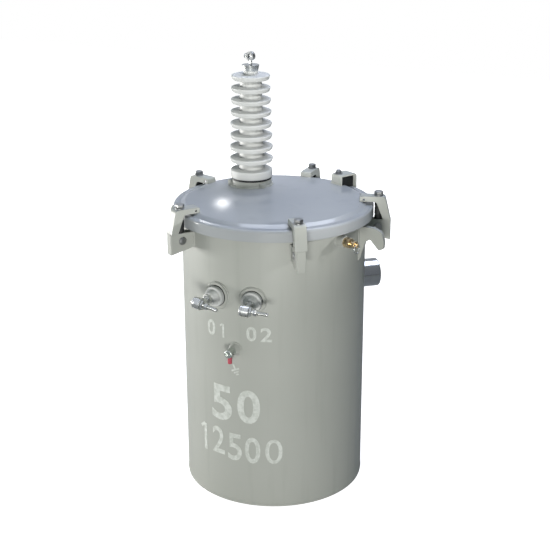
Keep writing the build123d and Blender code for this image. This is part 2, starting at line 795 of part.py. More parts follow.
with BuildPart() as relief_valve:
    with BuildSketch(relief_plane.offset(relief_seat)):
        RegularPolygon(relief_hex_width / 2, 6, major_radius=False)
    extrude(amount=relief_hex_length)
    with BuildSketch(relief_plane.offset(relief_hex_face)):
        Circle(relief_stem_diameter / 2)
    extrude(amount=relief_stem_length)
    with BuildSketch(relief_plane.offset(relief_button_seat)):
        Circle(relief_button_diameter / 2)
    extrude(amount=relief_button_length)
    with BuildSketch(relief_plane.offset(relief_button_face)):
        Rectangle(relief_tab_thickness, relief_tab_width)
    extrude(amount=relief_tab_length)
    with BuildSketch(section(relief_angle)):
        with Locations((relief_hole_radius, relief_height)):
            Circle(relief_ring_wire / 2 + relief_ring_clearance)
    extrude(amount=relief_tab_width, both=True, mode=Mode.SUBTRACT)
relief_valve.part.label = "relief_valve"
export_step(relief_valve.part, "parts/relief_valve.step")

with BuildPart() as relief_ring:
    with BuildSketch(section(relief_angle)):
        with Locations((relief_hole_radius, relief_height)):
            Circle(relief_ring_wire / 2)
    revolve(
        axis=Axis(
            (*outward(relief_angle, relief_hole_radius), relief_height - relief_ring_drop),
            (*outward(relief_angle, relief_hole_radius), 0),
        )
    )
relief_ring.part.label = "relief_ring"
export_step(relief_ring.part, "parts/relief_ring.step")

# Switch cap
with BuildPart() as switch_cap:
    with BuildSketch(facing(cap_angle, rim_height - cap_drop)):
        Circle(cap_diameter / 2)
    extrude(amount=tank_radius + cap_length)
    fillet(
        switch_cap.edges().filter_by(GeomType.CIRCLE).sort_by_distance((0, 0, rim_height - cap_drop))[-1],
        cap_round,
    )
    Cylinder(tank_radius, rim_height, align=(Align.CENTER, Align.CENTER, Align.MIN), mode=Mode.SUBTRACT)
switch_cap.part.label = "switch_cap"
export_step(switch_cap.part, "parts/switch_cap.step")


# A point of the lifting lug's outline from its shares of the reach and the height
def lift_point(reach_share, height_share):
    foot = rim_height - lift_drop - lift_height
    return (tank_radius + reach_share * lift_reach, foot + height_share * lift_height)


# Lifting lugs
for name, angle in (("left", -lift_angle), ("right", lift_angle)):
    with BuildPart() as lifting_lug:
        with BuildSketch(section(angle)) as lift_outline:
            with BuildLine():
                Polyline(
                    lift_point(lift_wall_share, 1),
                    lift_point(lift_back_share, 1),
                    lift_point(*lift_brow_shares),
                    lift_point(*lift_nose_shares),
                    lift_point(*lift_tip_shares),
                    lift_point(*lift_inner_tip_shares),
                    lift_point(*lift_notch_shares),
                    lift_point(*lift_heel_shares),
                    lift_point(lift_foot_share, 0),
                    lift_point(lift_wall_share, 0),
                    close=True,
                )
            make_face()
            for shares, bend in (
                ((lift_back_share, 1), lift_round),
                (lift_brow_shares, lift_round),
                (lift_nose_shares, lift_round),
                (lift_tip_shares, lift_tip_round),
                (lift_inner_tip_shares, lift_tip_round),
                (lift_notch_shares, lift_notch_round),
                (lift_heel_shares, lift_notch_round),
            ):
                fillet(lift_outline.vertices().sort_by_distance(lift_point(*shares))[0], bend)
        extrude(amount=lift_thickness / 2, both=True)
        Cylinder(tank_radius, rim_height, align=(Align.CENTER, Align.CENTER, Align.MIN), mode=Mode.SUBTRACT)
    lifting_lug.part.label = f"lifting_lug_{name}"
    export_step(lifting_lug.part, f"parts/lifting_lug_{name}.step")

# Pole hangers
hanger_face = tank_radius + hanger_depth
upper_height = rim_height - hanger_drop

for name, height in (("upper", upper_height), ("lower", upper_height - hanger_spacing)):
    with BuildPart() as hanger:
        with BuildSketch(Plane.XY.offset(height - hanger_height / 2)) as hanger_plan:
            with Locations((0, hanger_face / 2)):
                Rectangle(hanger_width, hanger_face)
            fillet(hanger_plan.vertices().group_by(Axis.Y)[-1], hanger_bend)
            with Locations((0, (hanger_face - hanger_plate) / 2)):
                Rectangle(hanger_width - 2 * hanger_plate, hanger_face - hanger_plate, mode=Mode.SUBTRACT)
        extrude(amount=hanger_height)
        with BuildSketch(facing(180, height)):
            SlotOverall(slot_length, slot_width, rotation=90)
        extrude(amount=hanger_face + overrun, mode=Mode.SUBTRACT)
        Cylinder(tank_radius, rim_height, align=(Align.CENTER, Align.CENTER, Align.MIN), mode=Mode.SUBTRACT)
    hanger.part.label = f"hanger_{name}"
    export_step(hanger.part, f"parts/hanger_{name}.step")

# Cover bracket
bracket_inner = step_inner - bracket_inset
bracket_outer = cover_radius + bracket_rim_gap + bracket_plate
bracket_top = step_top + bracket_height

with BuildPart() as cover_bracket:
    with BuildSketch(section(bracket_angle)) as bracket_side:
        with BuildLine():
            Polyline(
                (bracket_inner, step_top),
                (bracket_inner, bracket_top),
                (bracket_outer, bracket_top),
                (bracket_outer, bracket_top - bracket_leg),
                (bracket_outer - bracket_plate, bracket_top - bracket_leg),
                (bracket_outer - bracket_plate, bracket_top - bracket_plate),
                (bracket_inner + bracket_plate, bracket_top - bracket_plate),
                (bracket_inner + bracket_plate, step_top),
                close=True,
            )
        make_face()
        for corner in ((bracket_inner, bracket_top), (bracket_outer, bracket_top)):
            fillet(bracket_side.vertices().sort_by_distance(corner)[0], bracket_bend)
    extrude(amount=bracket_width / 2, both=True)
    add(cover_form.part, mode=Mode.SUBTRACT)
cover_bracket.part.label = "cover_bracket"
export_step(cover_bracket.part, "parts/cover_bracket.step")
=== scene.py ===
import bpy
import bmesh
import json
from math import cos, pi, radians, sin, sqrt
from mathutils import Matrix, Vector


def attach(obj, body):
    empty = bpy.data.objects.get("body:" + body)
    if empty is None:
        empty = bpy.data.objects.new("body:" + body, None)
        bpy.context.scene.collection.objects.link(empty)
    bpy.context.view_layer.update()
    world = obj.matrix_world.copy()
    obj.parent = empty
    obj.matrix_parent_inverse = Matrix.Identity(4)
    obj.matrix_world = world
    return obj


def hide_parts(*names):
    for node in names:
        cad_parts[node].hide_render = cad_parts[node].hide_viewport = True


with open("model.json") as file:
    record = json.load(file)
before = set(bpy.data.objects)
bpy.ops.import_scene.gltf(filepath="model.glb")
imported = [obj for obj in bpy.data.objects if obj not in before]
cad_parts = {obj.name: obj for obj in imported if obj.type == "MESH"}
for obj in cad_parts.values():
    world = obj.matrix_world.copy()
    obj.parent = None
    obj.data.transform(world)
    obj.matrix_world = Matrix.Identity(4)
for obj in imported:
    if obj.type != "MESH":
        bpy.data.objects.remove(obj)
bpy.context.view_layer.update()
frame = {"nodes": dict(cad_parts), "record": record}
nodes = frame["nodes"]
print("frame loaded:", len(nodes), "nodes")

scene = bpy.context.scene
scene.view_settings.view_transform = "Standard"

mm = 0.001
tiny = 0.01 * mm  # points nearer than this are one
sharpAngle = radians(38)  # steeper edges stay crisp
tankRadius = 203.2 * mm  # outside of the shell


# the angle runs from the front (-Y) towards +X
def atWall(angle, radius, height):
    turn = radians(angle)
    return Vector((radius * sin(turn), -radius * cos(turn), height))


# X to the right along the wall, Y up, Z outwards
def wallFrame(angle, radius, height):
    turn = radians(angle)
    place = atWall(angle, radius, height)
    return Matrix((
        (cos(turn), 0, sin(turn), place.x),
        (sin(turn), 0, -cos(turn), place.y),
        (0, 1, 0, place.z),
        (0, 0, 0, 1)))


# Z along a direction, from a starting point
def axisFrame(start, direction, turn=0):
    lay = Vector(direction).to_track_quat("Z", "Y").to_matrix().to_4x4()
    return Matrix.Translation(start) @ lay @ Matrix.Rotation(radians(turn), 4, "Z")


# camera at the photograph's height and angle
cameraPlace = {"azimuth": 24.4, "distance": 2.5803, "height": 1.4093, "tilt": 19.906, "swing": 0.054,
               "roll": 0.2, "lens": 79.73}
cameraData = bpy.data.cameras.new("viewCamera")
cameraData.sensor_width = 36
cameraData.lens = cameraPlace["lens"]
camera = bpy.data.objects.new("viewCamera", cameraData)
aim = (Matrix.Rotation(radians(cameraPlace["azimuth"] - cameraPlace["swing"]), 4, "Z")
       @ Matrix.Rotation(radians(90 - cameraPlace["tilt"]), 4, "X")
       @ Matrix.Rotation(radians(-cameraPlace["roll"]), 4, "Z"))
camera.location = atWall(cameraPlace["azimuth"], cameraPlace["distance"], cameraPlace["height"])
camera.rotation_euler = aim.to_euler()
scene.collection.objects.link(camera)
scene.camera = camera
print("camera placed")


def hexColour(text):
    parts = [int(text[i:i + 2], 16) / 255 for i in (1, 3, 5)]
    linear = [c / 12.92 if c <= 0.04045 else ((c + 0.055) / 1.055) ** 2.4 for c in parts]
    return (*linear, 1.0)


# one node with its settings; an input that is a socket is linked, anything else is a value
def addNode(tree, kind, settings=None, **inputs):
    node = tree.nodes.new(kind)
    for key, value in (settings or {}).items():
        setattr(node, key, value)
    for key, value in inputs.items():
        socket = node.inputs[int(key[1:])] if key[0] == "_" else node.inputs[key.replace("_", " ")]
        if isinstance(value, bpy.types.NodeSocket):
            tree.links.new(value, socket)
        else:
            socket.default_value = value
    return node


def newMaterial(name):
    material = bpy.data.materials.new(name)
    material.use_nodes = True
    tree = material.node_tree
    return material, tree, tree.nodes["Principled BSDF"]


# patterns are counted per metre, so a size in millimetres becomes a scale
def perMetre(sizeMm):
    return 1000 / sizeMm


# air-drying enamel sprayed on sheet steel: a soft gloss, a faint orange peel, cloudy coats and grime in runs
# real peel is too fine to show from here, so it is drawn coarser
enamelLook = {"colour": "#AAACA7", "thin": "#A3A5A0", "grime": "#92958F", "cloudMm": 160, "peelMm": 4.5,
              "dustMm": 14, "runMm": 22, "edgeMm": 1.2, "gloss": 0.40, "shine": 0.22}
paintRuns = {"stretch": 0.08, "from": 0.56, "to": 0.86, "most": 0.38}  # upright stretch, and how much shows
peelDepth = {"strength": 0.05, "height": 0.6 * mm}
dustSpread = {"clean": -0.05, "dusty": 0.07}  # added to the roughness


def enamelPaint(name, look):
    material, tree, shader = newMaterial(name)
    where = addNode(tree, "ShaderNodeTexCoord").outputs["Object"]
    cloud = addNode(tree, "ShaderNodeTexNoise", None, Vector=where, Scale=perMetre(look["cloudMm"]),
                    Detail=3.0)
    coats = addNode(tree, "ShaderNodeMix", {"data_type": "RGBA"}, _0=cloud.outputs[0],
                    _6=hexColour(look["thin"]), _7=hexColour(look["colour"]))
    # grime runs down the sheet in narrow upright streaks
    streak = addNode(tree, "ShaderNodeMapping", None, Vector=where, Scale=(1.0, 1.0, paintRuns["stretch"]))
    runs = addNode(tree, "ShaderNodeTexNoise", None, Vector=streak.outputs[0], Scale=perMetre(look["runMm"]),
                   Detail=4.0)
    thick = addNode(tree, "ShaderNodeMapRange", None, Value=runs.outputs[0], _1=paintRuns["from"],
                    _2=paintRuns["to"], _3=0.0, _4=paintRuns["most"])
    worn = addNode(tree, "ShaderNodeMix", {"data_type": "RGBA"}, _0=thick.outputs[0], _6=coats.outputs[2],
                   _7=hexColour(look["grime"]))
    tree.links.new(worn.outputs[2], shader.inputs["Base Color"])
    dust = addNode(tree, "ShaderNodeTexNoise", None, Vector=where, Scale=perMetre(look["dustMm"]), Detail=4.0)
    matt = addNode(tree, "ShaderNodeMapRange", None, Value=dust.outputs[0],
                   _3=look["gloss"] + dustSpread["clean"], _4=look["gloss"] + dustSpread["dusty"])
    tree.links.new(matt.outputs[0], shader.inputs["Roughness"])
    peel = addNode(tree, "ShaderNodeTexNoise", None, Vector=where, Scale=perMetre(look["peelMm"]), Detail=1.0)
    soft = addNode(tree, "ShaderNodeBevel", {"samples": 4}, Radius=look["edgeMm"] * mm)
    bump = addNode(tree, "ShaderNodeBump", None, Strength=peelDepth["strength"], Distance=peelDepth["height"],
                   Height=peel.outputs[0], Normal=soft.outputs[0])
    tree.links.new(bump.outputs[0], shader.inputs["Normal"])
    shader.inputs["IOR"].default_value = 1.5
    shader.inputs["Specular IOR Level"].default_value = look["shine"]
    return material


tankEnamel = enamelPaint("tankEnamel", enamelLook)
# the cover's coat is wetter, so it mirrors more of the room; its greys carry a faint blue tint, a painted
# reflection of the bluish room light
coverLook = {"colour": "#A6A9AC", "thin": "#9EA2A6", "grime": "#8E9397", "cloudMm": 120, "peelMm": 6.0,
             "dustMm": 30, "runMm": 45, "edgeMm": 1.2, "gloss": 0.13, "shine": 0.5}
coverEnamel = enamelPaint("coverEnamel", coverLook)

# stencil paint, dry and thin, so that the grey coat shows through in patches
stencilLook = {"colour": "#CBCECA", "thin": "#B1B5AF", "patchMm": 9, "grainMm": 2.5,
               "patchEdges": (0.32, 0.60), "dry": (0.48, 0.66)}
stencilPaint, tree, shader = newMaterial("stencilPaint")
where = addNode(tree, "ShaderNodeTexCoord").outputs["Object"]
patch = addNode(tree, "ShaderNodeTexNoise", None, Vector=where, Scale=perMetre(stencilLook["patchMm"]),
                Detail=5.0, Roughness=0.6)
start, end = stencilLook["patchEdges"]
coverage = addNode(tree, "ShaderNodeMapRange", None, Value=patch.outputs[0], _1=start, _2=end)
tone = addNode(tree, "ShaderNodeMix", {"data_type": "RGBA"}, _0=coverage.outputs[0],
               _6=hexColour(stencilLook["thin"]), _7=hexColour(stencilLook["colour"]))
tree.links.new(tone.outputs[2], shader.inputs["Base Color"])
grain = addNode(tree, "ShaderNodeTexNoise", None, Vector=where, Scale=perMetre(stencilLook["grainMm"]),
                Detail=2.0)
smooth, rough = stencilLook["dry"]
matt = addNode(tree, "ShaderNodeMapRange", None, Value=grain.outputs[0], _3=smooth, _4=rough)
tree.links.new(matt.outputs[0], shader.inputs["Roughness"])


# two tones of one colour, mottled at a real size; gives back the pattern for other uses
def mottle(tree, shader, sizeMm, detail, dark, pale):
    where = addNode(tree, "ShaderNodeTexCoord").outputs["Object"]
    noise = addNode(tree, "ShaderNodeTexNoise", None, Vector=where, Scale=perMetre(sizeMm), Detail=detail)
    tone = addNode(tree, "ShaderNodeMix", {"data_type": "RGBA"}, _0=noise.outputs[0],
                   _6=hexColour(dark), _7=hexColour(pale))
    tree.links.new(tone.outputs[2], shader.inputs["Base Color"])
    return noise.outputs[0]


# fired feldspar glaze on wet-process porcelain: smooth, with a satin shine, a little uneven in tone
glazeLook = {"colour": "#C2C3C2", "pooled": "#B7B9B8", "poolMm": 30, "satin": (0.38, 0.48), "shine": 0.25}
glazedPorcelain, tree, shader = newMaterial("glazedPorcelain")
pool = mottle(tree, shader, glazeLook["poolMm"], 2.0, glazeLook["pooled"], glazeLook["colour"])
smooth, rough = glazeLook["satin"]
sheen = addNode(tree, "ShaderNodeMapRange", None, Value=pool, _3=smooth, _4=rough)
tree.links.new(sheen.outputs[0], shader.inputs["Roughness"])
shader.inputs["IOR"].default_value = 1.52
shader.inputs["Specular IOR Level"].default_value = glazeLook["shine"]

# moulded nitrile rubber: near black, matt, with a fine bloom
rubberLook = {"colour": "#121313", "bloom": "#232424", "bloomMm": 5, "matt": 0.6}
mouldedRubber, tree, shader = newMaterial("mouldedRubber")
mottle(tree, shader, rubberLook["bloomMm"], 3.0, rubberLook["colour"], rubberLook["bloom"])
shader.inputs["Roughness"].default_value = rubberLook["matt"]

metalEdge = 0.6 * mm  # a soft edge that catches the light


# metal with handling marks and its plating's grain in tone and gloss, the grain drawn coarse enough to show
# low and high are the roughness where it is bright and where it is dull
def platedMetal(name, bright, dull, low, high, grainMm):
    material, tree, shader = newMaterial(name)
    grain = mottle(tree, shader, grainMm, 4.0, dull, bright)
    rough = addNode(tree, "ShaderNodeMapRange", None, Value=grain, _3=high, _4=low)
    tree.links.new(rough.outputs[0], shader.inputs["Roughness"])
    soft = addNode(tree, "ShaderNodeBevel", {"samples": 4}, Radius=metalEdge)
    tree.links.new(soft.outputs[0], shader.inputs["Normal"])
    shader.inputs["Metallic"].default_value = 1.0
    return material


zincPlate = platedMetal("zincPlatedSteel", "#A2A3A2", "#7C7E7D", 0.30, 0.48, 6)  # plated bolts: a dull grey
tinPlate = platedMetal("tinPlatedBronze", "#E2E3E0", "#BABCB9", 0.20, 0.36, 7)  # cast and tinned: bright
machinedBrass = platedMetal("machinedBrass", "#E8D9B8", "#C2A274", 0.20, 0.36, 5)  # turned: a yellow shine
polishedSteel = platedMetal("polishedStainless", "#BBBDBE", "#A3A6A8", 0.10, 0.18, 20)  # buffed to a mirror
brightWire = platedMetal("brightSteelWire", "#DCDEDC", "#B9BCB9", 0.20, 0.34, 6)  # drawn: a light silver
earthSteel = platedMetal("dullZincSteel", "#D2D6D2", "#A2A9A3", 0.26, 0.42, 5)  # dipped: pale and cloudy

# injection moulded polyethylene cap, a deep red with a waxy sheen
redCapLook = {"colour": "#BE5464", "scuffed": "#96323F", "scuffMm": 4, "waxy": 0.42}
redPlastic, tree, shader = newMaterial("redPolyethylene")
mottle(tree, shader, redCapLook["scuffMm"], 2.0, redCapLook["scuffed"], redCapLook["colour"])
shader.inputs["Roughness"].default_value = redCapLook["waxy"]

slotFinish = {
    "tank_paint": tankEnamel, "cover_paint": coverEnamel, "zinc_bolt": zincPlate,
    "grey_porcelain": glazedPorcelain, "black_rubber": mouldedRubber, "tinned_terminal": tinPlate,
    "earth_metal": earthSteel, "red_plastic": redPlastic, "valve_brass": machinedBrass,
    "ring_steel": brightWire, "polished_steel": polishedSteel,
}
for row in frame["record"]["subparts"]:
    finish = slotFinish[row["material_slot"]]
    node = nodes[row["node"]]
    node.data.materials.clear()
    node.data.materials.append(finish)


# cleans, shades and paints one new piece, which rides on the one body
def makePiece(name, shape, finish):
    bmesh.ops.remove_doubles(shape, verts=shape.verts, dist=tiny)
    bmesh.ops.recalc_face_normals(shape, faces=shape.faces)
    mesh = bpy.data.meshes.new(name)
    shape.to_mesh(mesh)
    shape.free()
    mesh.shade_smooth()
    mesh.set_sharp_from_angle(angle=sharpAngle)
    mesh.materials.append(finish)
    piece = bpy.data.objects.new(name, mesh)
    scene.collection.objects.link(piece)
    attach(piece, "root")
    return piece


# a profile of (radius, height) in millimetres, spun once round its frame's Z
def turnedForm(shape, place, profile, steps=32):
    before = set(shape.verts)
    dots = [shape.verts.new((radius * mm, 0, height * mm)) for radius, height in profile]
    lines = [shape.edges.new(pair) for pair in zip(dots, dots[1:])]
    bmesh.ops.spin(shape, geom=dots + lines, cent=(0, 0, 0), axis=(0, 0, 1), dvec=(0, 0, 0), angle=2 * pi,
                   steps=steps, use_merge=True)
    bmesh.ops.transform(shape, matrix=place, verts=[dot for dot in shape.verts if dot not in before])


# a hexagon with its top and bottom corners broken
def hexForm(shape, place, width, height, chamfer):
    before = set(shape.verts)
    radius = width / sqrt(3) * mm
    bmesh.ops.create_cone(shape, cap_ends=True, cap_tris=False, segments=6, radius1=radius, radius2=radius,
                          depth=height * mm, matrix=Matrix.Translation((0, 0, height * mm / 2)))
    rims = [line for line in shape.edges
            if line.verts[0] not in before and abs(line.verts[0].co.z - line.verts[1].co.z) < tiny]
    bmesh.ops.bevel(shape, geom=rims, offset=chamfer * mm, segments=2, profile=0.5, affect="EDGES",
                    material=-1)
    fresh = [dot for dot in shape.verts if dot not in before]
    bmesh.ops.transform(shape, matrix=place, verts=fresh)


threadShape = {"depth": 0.58, "rise": 0.45, "crest": 0.6}  # shares of the pitch


# a threaded rod's profile, closed on its axis at both ends
def threadProfile(radius, start, end, pitch):
    depth = threadShape["depth"] * pitch
    profile = [(0, start), (radius - depth, start)]
    turns = int((end - start - pitch) / pitch)
    for turn in range(turns):
        foot = start + turn * pitch
        rise = foot + threadShape["rise"] * pitch
        crest = foot + threadShape["crest"] * pitch
        profile += [(radius, rise), (radius, crest), (radius - depth, foot + pitch)]
    return profile + [(radius - depth, end), (0, end)]


# clamp bolts: a cross pin with domed heads in the lug, a threaded shank, a washer and a nut, in millimetres
clampBoltSet = {"first": 37.0, "count": 5, "radius": 230.2, "pinHeight": 598, "clampTop": 667,
                "washer": (20, 2, 0.5), "nut": (17, 8, 0.9), "nutTurn": 11, "end": 677.5, "thread": (6, 1.75),
                "pin": (5, 13), "pinHead": (9, 10), "dome": ((0.55, 0.4), (0.88, 1.3))}
clampAngles = [clampBoltSet["first"] + number * 360 / clampBoltSet["count"]
               for number in range(clampBoltSet["count"])]
for number, angle in enumerate(clampAngles):
    shape = bmesh.new()
    foot = atWall(angle, clampBoltSet["radius"] * mm, 0)
    upright = axisFrame(foot, (0, 0, 1), angle)
    rod, pitch = clampBoltSet["thread"]
    shank = threadProfile(rod, clampBoltSet["pinHeight"], clampBoltSet["end"], pitch)
    turnedForm(shape, upright, shank, steps=24)
    width, thick, edge = clampBoltSet["washer"]
    low = clampBoltSet["clampTop"]
    turnedForm(shape, upright, [(0, low), (width / 2, low), (width / 2, low + thick - edge),
                                (width / 2 - edge, low + thick), (0, low + thick)], steps=36)
    nutSeat = foot + Vector((0, 0, (low + thick) * mm))
    nutFrame = axisFrame(nutSeat, (0, 0, 1), angle + clampBoltSet["nutTurn"] * number)
    hexForm(shape, nutFrame, *clampBoltSet["nut"])
    pinRadius, pinHalf = clampBoltSet["pin"]
    headRadius, headStart = clampBoltSet["pinHead"]
    side = Vector((cos(radians(angle)), sin(radians(angle)), 0))
    pinFrame = axisFrame(foot + Vector((0, 0, clampBoltSet["pinHeight"] * mm)), side)
    (inner, innerDrop), (outer, outerDrop) = clampBoltSet["dome"]
    headHalf = [(0, pinHalf), (headRadius * inner, pinHalf - innerDrop),
                (headRadius * outer, pinHalf - outerDrop), (headRadius, headStart), (pinRadius, headStart)]
    turnedForm(shape, pinFrame, [(radius, -along) for radius, along in headHalf] + headHalf[::-1], steps=28)
    bolt = makePiece("clampBolt%d" % (number + 1), shape, zincPlate)
    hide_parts("clamp_bolt_%d" % (number + 1))
print("clamp bolts made")

# low voltage bolts: a round jaw, a clamping nut, a bare neck, a lock nut and a threaded tail
# a nut is its width, seat, height, turn and chamfer
lvBoltSet = {"angle": 11.65, "radius": 265.2, "height": 490, "lean": 6.0, "rod": (4, 1.25), "tail": (23, 48),
             "jaw": [(0, -13), (4.375, -13), (5.25, -12), (9.75, -12.4), (11.3, -12.2), (12.2, -11.2),
                     (12.5, -10), (12.5, -7.8), (11.7, -7), (0, -7)],
             "neck": (-8, 17), "nuts": [(19, 7, 6, 12, 1.0), (13, 17, 7, 20, 0.8)]}
for name, side in (("Left", -1), ("Right", 1)):
    turn = radians(side * lvBoltSet["angle"])
    lean = radians(lvBoltSet["lean"])
    middle = atWall(side * lvBoltSet["angle"], lvBoltSet["radius"] * mm, lvBoltSet["height"] * mm)
    along = Vector((cos(turn) * cos(lean), sin(turn) * cos(lean), -sin(lean)))
    line = axisFrame(middle, along)
    shape = bmesh.new()
    turnedForm(shape, line, lvBoltSet["jaw"], steps=40)
    rod, pitch = lvBoltSet["rod"]
    low, high = lvBoltSet["neck"]
    turnedForm(shape, line, [(0, low), (rod, low), (rod, high), (0, high)], steps=24)
    for across, seat, tall, turned, chamfer in lvBoltSet["nuts"]:
        hexForm(shape, axisFrame(middle + along * seat * mm, along, turned), across, tall, chamfer)
    low, high = lvBoltSet["tail"]
    turnedForm(shape, line, threadProfile(rod, low, high, pitch), steps=24)
    bolt = makePiece("lvBolt" + name, shape, tinPlate)
    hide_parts("lv_bolt_" + name.lower())
print("low voltage bolts made")


# two waves that ripple a weld: height, turn per step and start
ripples = ((0.17, 2.1, 0), (0.09, 0.7, 1))
beadStep = 1.4  # from point to point, in bead radii


# one rippled run of weld along its points
def weldRun(shape, points, beadMm, closed):
    curve = bpy.data.curves.new("bead", "CURVE")
    curve.dimensions = "3D"
    curve.bevel_depth = beadMm * mm
    curve.bevel_resolution = 2
    curve.use_fill_caps = True
    run = curve.splines.new("POLY")
    run.points.add(len(points) - 1)
    for step, (dot, place) in enumerate(zip(run.points, points)):
        dot.co = (*place, 1)
        dot.radius = 1 + sum(height * sin(rate * step + start) for height, rate, start in ripples)
    run.use_cyclic_u = closed
    holder = bpy.data.objects.new("bead", curve)
    bead = bpy.data.meshes.new_from_object(holder)
    shape.from_mesh(bead)
    bpy.data.objects.remove(holder)
    bpy.data.meshes.remove(bead)


# a point on the tank's wall, across and up from a place on it
def onWall(angle, height, across, up, lift=0.0):
    reach = sqrt(tankRadius ** 2 - (across * mm) ** 2) + lift * mm
    return wallFrame(angle, 0, height * mm) @ Vector((across * mm, up * mm, reach))


# the cover's low dome
domeCurve = {"top": 664.0, "rise": 9.0, "edge": 194.2}
domeBend = (domeCurve["edge"] ** 2 + domeCurve["rise"] ** 2) / (2 * domeCurve["rise"])


def onDome(x, y):
    return Vector((x * mm, y * mm, (domeCurve["top"] - domeBend + sqrt(domeBend ** 2 - x * x - y * y)) * mm))


# a ring is its angle, height, radius and bead; angles in degrees, the rest in millimetres
weldSet = {
    "rings": [(-11.65, 490, 28.5, 1.9), (11.65, 490, 28.5, 1.9), (0, 374, 15, 1.6), (67, 607, 12.5, 1.7),
              (130, 459, 32, 2.2)],
    "ringLift": 0.3,
    "lugs": {"half": 10.4, "low": 582, "high": 614, "bead": 2.0},
    "lifts": {"angles": (-90, 90), "half": 5.6, "low": 541.5, "high": 616, "bead": 2.3},
    "hangers": {"angle": 180, "half": 38.6, "spans": [(466, 534), (180, 248.5)], "bead": 2.6},
    "collar": {"angle": -128, "offset": 107, "radius": 46.2, "bead": 3.2, "step": 1.3},
    "bracket": {"angle": 151, "radius": 177.4, "half": 17, "bead": 2.0, "steps": 6},
    "shellSeam": {"angle": 214, "low": 8, "high": 620, "bead": 1.5, "spacing": 2.6, "lift": -0.4},
    "footSeam": {"height": 5.2, "bead": 1.1, "count": 420, "sunk": 0.35},
}
shape = bmesh.new()
for angle, height, radius, bead in weldSet["rings"]:
    count = int(2 * pi * radius / (beadStep * bead))
    ring = [onWall(angle, height, radius * cos(2 * pi * i / count), radius * sin(2 * pi * i / count),
                   weldSet["ringLift"] * bead) for i in range(count)]
    weldRun(shape, ring, bead, True)


# upright runs each side of a plate on the wall
def sideRuns(shape, angle, half, low, high, bead):
    count = int((high - low) / (beadStep * bead))
    for side in (-1, 1):
        run = [onWall(angle, low, side * half, (high - low) * i / count) for i in range(count + 1)]
        weldRun(shape, run, bead, False)


lugs, lifts, hangers = weldSet["lugs"], weldSet["lifts"], weldSet["hangers"]
for angle in clampAngles:
    sideRuns(shape, angle, lugs["half"], lugs["low"], lugs["high"], lugs["bead"])
for angle in lifts["angles"]:
    sideRuns(shape, angle, lifts["half"], lifts["low"], lifts["high"], lifts["bead"])
for low, high in hangers["spans"]:
    sideRuns(shape, hangers["angle"], hangers["half"], low, high, hangers["bead"])
collar = weldSet["collar"]
collarCentre = atWall(collar["angle"], collar["offset"], 0)
count = int(2 * pi * collar["radius"] / (collar["step"] * collar["bead"]))
weldRun(shape, [onDome(collarCentre.x + collar["radius"] * cos(2 * pi * i / count),
                       collarCentre.y + collar["radius"] * sin(2 * pi * i / count)) for i in range(count)],
        collar["bead"], True)
strap = weldSet["bracket"]
across = Vector((cos(radians(strap["angle"])), sin(radians(strap["angle"])), 0))
foot = atWall(strap["angle"], strap["radius"], 0)
steps = strap["steps"]  # from the middle to each end
weldRun(shape, [onDome(*(foot + across * strap["half"] * (i / steps - 1)).xy) for i in range(2 * steps + 1)],
        strap["bead"], False)
seam = weldSet["shellSeam"]
tall = seam["high"] - seam["low"]
count = int(tall / seam["spacing"])
run = [onWall(seam["angle"], seam["low"], 0, tall * i / count, seam["lift"]) for i in range(count + 1)]
weldRun(shape, run, seam["bead"], False)
seam = weldSet["footSeam"]
count = seam["count"]
run = [atWall(360 * i / count, tankRadius - seam["sunk"] * mm, seam["height"] * mm) for i in range(count)]
weldRun(shape, run, seam["bead"], True)
makePiece("weldBeads", shape, tankEnamel)
print("welds made")


skin = {"under": -0.6, "over": 0.35, "slice": 4.0}  # from inside the wall to its face, and the strips' width


# cuts a flat shape into strips, thickens it and bends it round the wall
def bendOnWall(target, shape, angle, low):
    reach = max(abs(v.co.x) for v in shape.verts)
    cuts = int(2 * reach / (skin["slice"] * mm))
    for cut in range(1, cuts):
        bmesh.ops.bisect_plane(shape, geom=shape.verts[:] + shape.edges[:] + shape.faces[:], dist=tiny,
                               plane_co=(-reach + 2 * reach * cut / cuts, 0, 0), plane_no=(1, 0, 0))
    raised = bmesh.ops.extrude_face_region(shape, geom=shape.faces[:], use_keep_orig=True)
    lifted = [item for item in raised["geom"] if isinstance(item, bmesh.types.BMVert)]
    bmesh.ops.translate(shape, verts=lifted, vec=(0, 0, (skin["over"] - skin["under"]) * mm))
    for dot in shape.verts:
        radius = tankRadius + skin["under"] * mm + dot.co.z
        turn = radians(angle) + dot.co.x / tankRadius
        dot.co = Vector((radius * sin(turn), -radius * cos(turn), low * mm + dot.co.y))
    mesh = bpy.data.meshes.new("skin")
    shape.to_mesh(mesh)
    shape.free()
    target.from_mesh(mesh)
    bpy.data.meshes.remove(mesh)


letterCut = {"smooth": 6, "merge": 0.0005}  # steps on a curve, and the gap closed, in the font's own units


# one figure, sprayed through a stencil as a thin skin of paint
def sprayedFigure(target, text, angle, width, low, high, bold):
    letter = bpy.data.curves.new("figure", "FONT")
    letter.body = text
    letter.offset = bold
    letter.resolution_u = letterCut["smooth"]
    holder = bpy.data.objects.new("figure", letter)
    flat = bpy.data.meshes.new_from_object(holder)
    shape = bmesh.new()
    shape.from_mesh(flat)
    bpy.data.objects.remove(holder)
    bpy.data.meshes.remove(flat)
    bmesh.ops.remove_doubles(shape, verts=shape.verts, dist=letterCut["merge"])
    left, right = min(v.co.x for v in shape.verts), max(v.co.x for v in shape.verts)
    foot, head = min(v.co.y for v in shape.verts), max(v.co.y for v in shape.verts)
    fit = (Matrix.Diagonal((width * mm / (right - left), (high - low) * mm / (head - foot), 1, 1))
           @ Matrix.Translation((-(left + right) / 2, -foot, 0)))
    bmesh.ops.transform(shape, matrix=fit, verts=shape.verts)
    bendOnWall(target, shape, angle, low)


